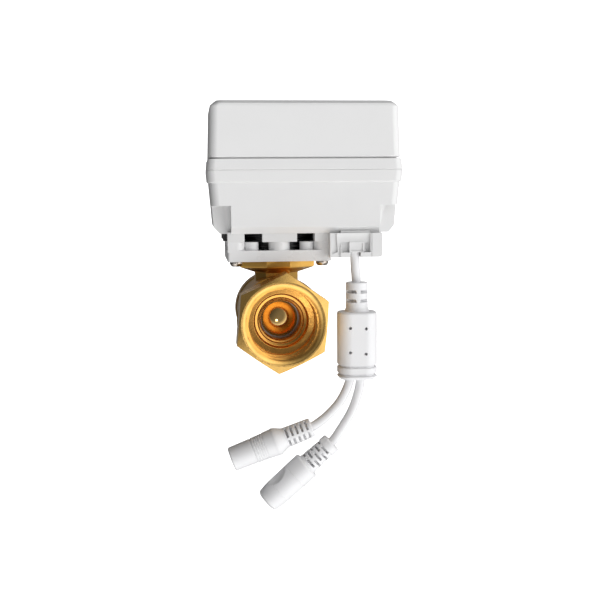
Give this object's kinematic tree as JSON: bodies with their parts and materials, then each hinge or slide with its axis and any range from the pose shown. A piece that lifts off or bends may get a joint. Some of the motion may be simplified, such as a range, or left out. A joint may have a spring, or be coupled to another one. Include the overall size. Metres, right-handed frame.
{
  "type": "motorized valve actuator",
  "caption": "Brass two-way ball valve with female pipe threads, turned by a plastic electric quarter-turn actuator; its cable splits into two leads with round DC sockets.",
  "frame": {"origin": "on the pipe axis at the first full thread of the near port", "axes": "+Y along the pipe from the near port to the far port, +Z along the stem towards the actuator, +X to the right, the side on which the housing reaches out over the cable"},
  "size_m": [0.0696, 0.0565, 0.1474],
  "materials": {
    "brass": "turned and cast brass",
    "chrome_steel": "polished",
    "screw_steel": "dull plated",
    "grey_seat": "smooth",
    "black_rubber": "matte",
    "housing_plastic": "satin moulded",
    "black_plastic": "moulded",
    "cable_plastic": "soft satin",
    "grommet_plastic": "moulded",
    "gear_plastic": "moulded",
    "plate_steel": "zinc plated",
    "motor_steel": "zinc plated",
    "cam_plastic": "moulded",
    "red_plastic": "moulded",
    "board_green": "solder mask",
    "relay_blue": "moulded",
    "bronze_bush": "sintered",
    "gold_contact": "plated",
    "wire_jacket": "smooth"
  },
  "bodies": {
    "fixed": {"valve_body": "brass", "end_cap": "brass", "cap_seal": "black_rubber", "seat_front": "grey_seat", "seat_rear": "grey_seat", "stem_washer": "grey_seat", "bracket": "housing_plastic", "flange_screws": "screw_steel", "bracket_screws": "screw_steel", "lock_ring": "black_plastic", "base_shell": "housing_plastic", "top_cover": "housing_plastic", "cover_gasket": "black_rubber", "cover_screws": "screw_steel", "shaft_bush": "bronze_bush", "lower_plate": "plate_steel", "upper_plate": "plate_steel", "plate_spacers": "screw_steel", "plate_screws": "screw_steel", "axle_two": "screw_steel", "axle_one": "screw_steel", "motor_can": "motor_steel", "motor_end_cap": "black_plastic", "motor_terminals": "gold_contact", "motor_screws": "screw_steel", "switch_closed": "black_plastic", "switch_open": "black_plastic", "circuit_board": "board_green", "board_posts": "grommet_plastic", "relay": "relay_blue", "capacitor": "black_plastic", "terminal_block": "board_green", "motor_wires": "wire_jacket", "supply_wires": "wire_jacket", "cable_grommet": "grommet_plastic", "power_cable": "cable_plastic", "splitter": "cable_plastic", "lead_a": "cable_plastic", "lead_b": "cable_plastic", "connector_a": "cable_plastic", "connector_b": "cable_plastic", "socket_sleeve_a": "chrome_steel", "socket_sleeve_b": "chrome_steel", "socket_pin_a": "gold_contact", "socket_pin_b": "gold_contact"},
    "output": {"output_shaft": "chrome_steel", "output_gear": "gear_plastic", "switch_cam": "cam_plastic", "stem": "chrome_steel", "stem_rings": "black_rubber", "ball": "brass", "shaft_seal": "black_rubber"},
    "second_idler": {"idler_gear_two": "gear_plastic"},
    "first_idler": {"idler_gear_one": "gear_plastic"},
    "rotor": {"motor_shaft": "chrome_steel", "motor_pinion": "brass"},
    "closed_plunger": {"plunger_closed": "red_plastic"},
    "open_plunger": {"plunger_open": "red_plastic"}
  },
  "joints": [
    {"name": "output_turn", "type": "hinge", "parent": "fixed", "child": "output", "pos_m": [0, 0.0295, 0.045], "axis": [0, 0, 1], "range_deg": [0, 90]},
    {"name": "second_idler_turn", "type": "hinge", "parent": "fixed", "child": "second_idler", "pos_m": [0.02018, 0.03453, 0.045], "axis": [0, 0, 1], "range_deg": [-300, 0]},
    {"name": "first_idler_turn", "type": "hinge", "parent": "fixed", "child": "first_idler", "pos_m": [0.02558, 0.02118, 0.045], "axis": [0, 0, 1], "range_deg": [0, 900]},
    {"name": "rotor_turn", "type": "hinge", "parent": "fixed", "child": "rotor", "pos_m": [0.02801, 0.03497, 0.045], "axis": [0, 0, 1], "range_deg": [-2700, 0]},
    {"name": "closed_plunger_press", "type": "slide", "parent": "fixed", "child": "closed_plunger", "axis": [-1, 0, 0], "range_m": [0, 0.0008], "stiffness_N_per_m": 150},
    {"name": "open_plunger_press", "type": "slide", "parent": "fixed", "child": "open_plunger", "axis": [0, -1, 0], "range_m": [0, 0.0008], "stiffness_N_per_m": 150}
  ],
  "couplings": [
    {"joint": "second_idler_turn", "follows": "output_turn", "ratio": -3.3333},
    {"joint": "first_idler_turn", "follows": "output_turn", "ratio": 10},
    {"joint": "rotor_turn", "follows": "output_turn", "ratio": -30}
  ]
}
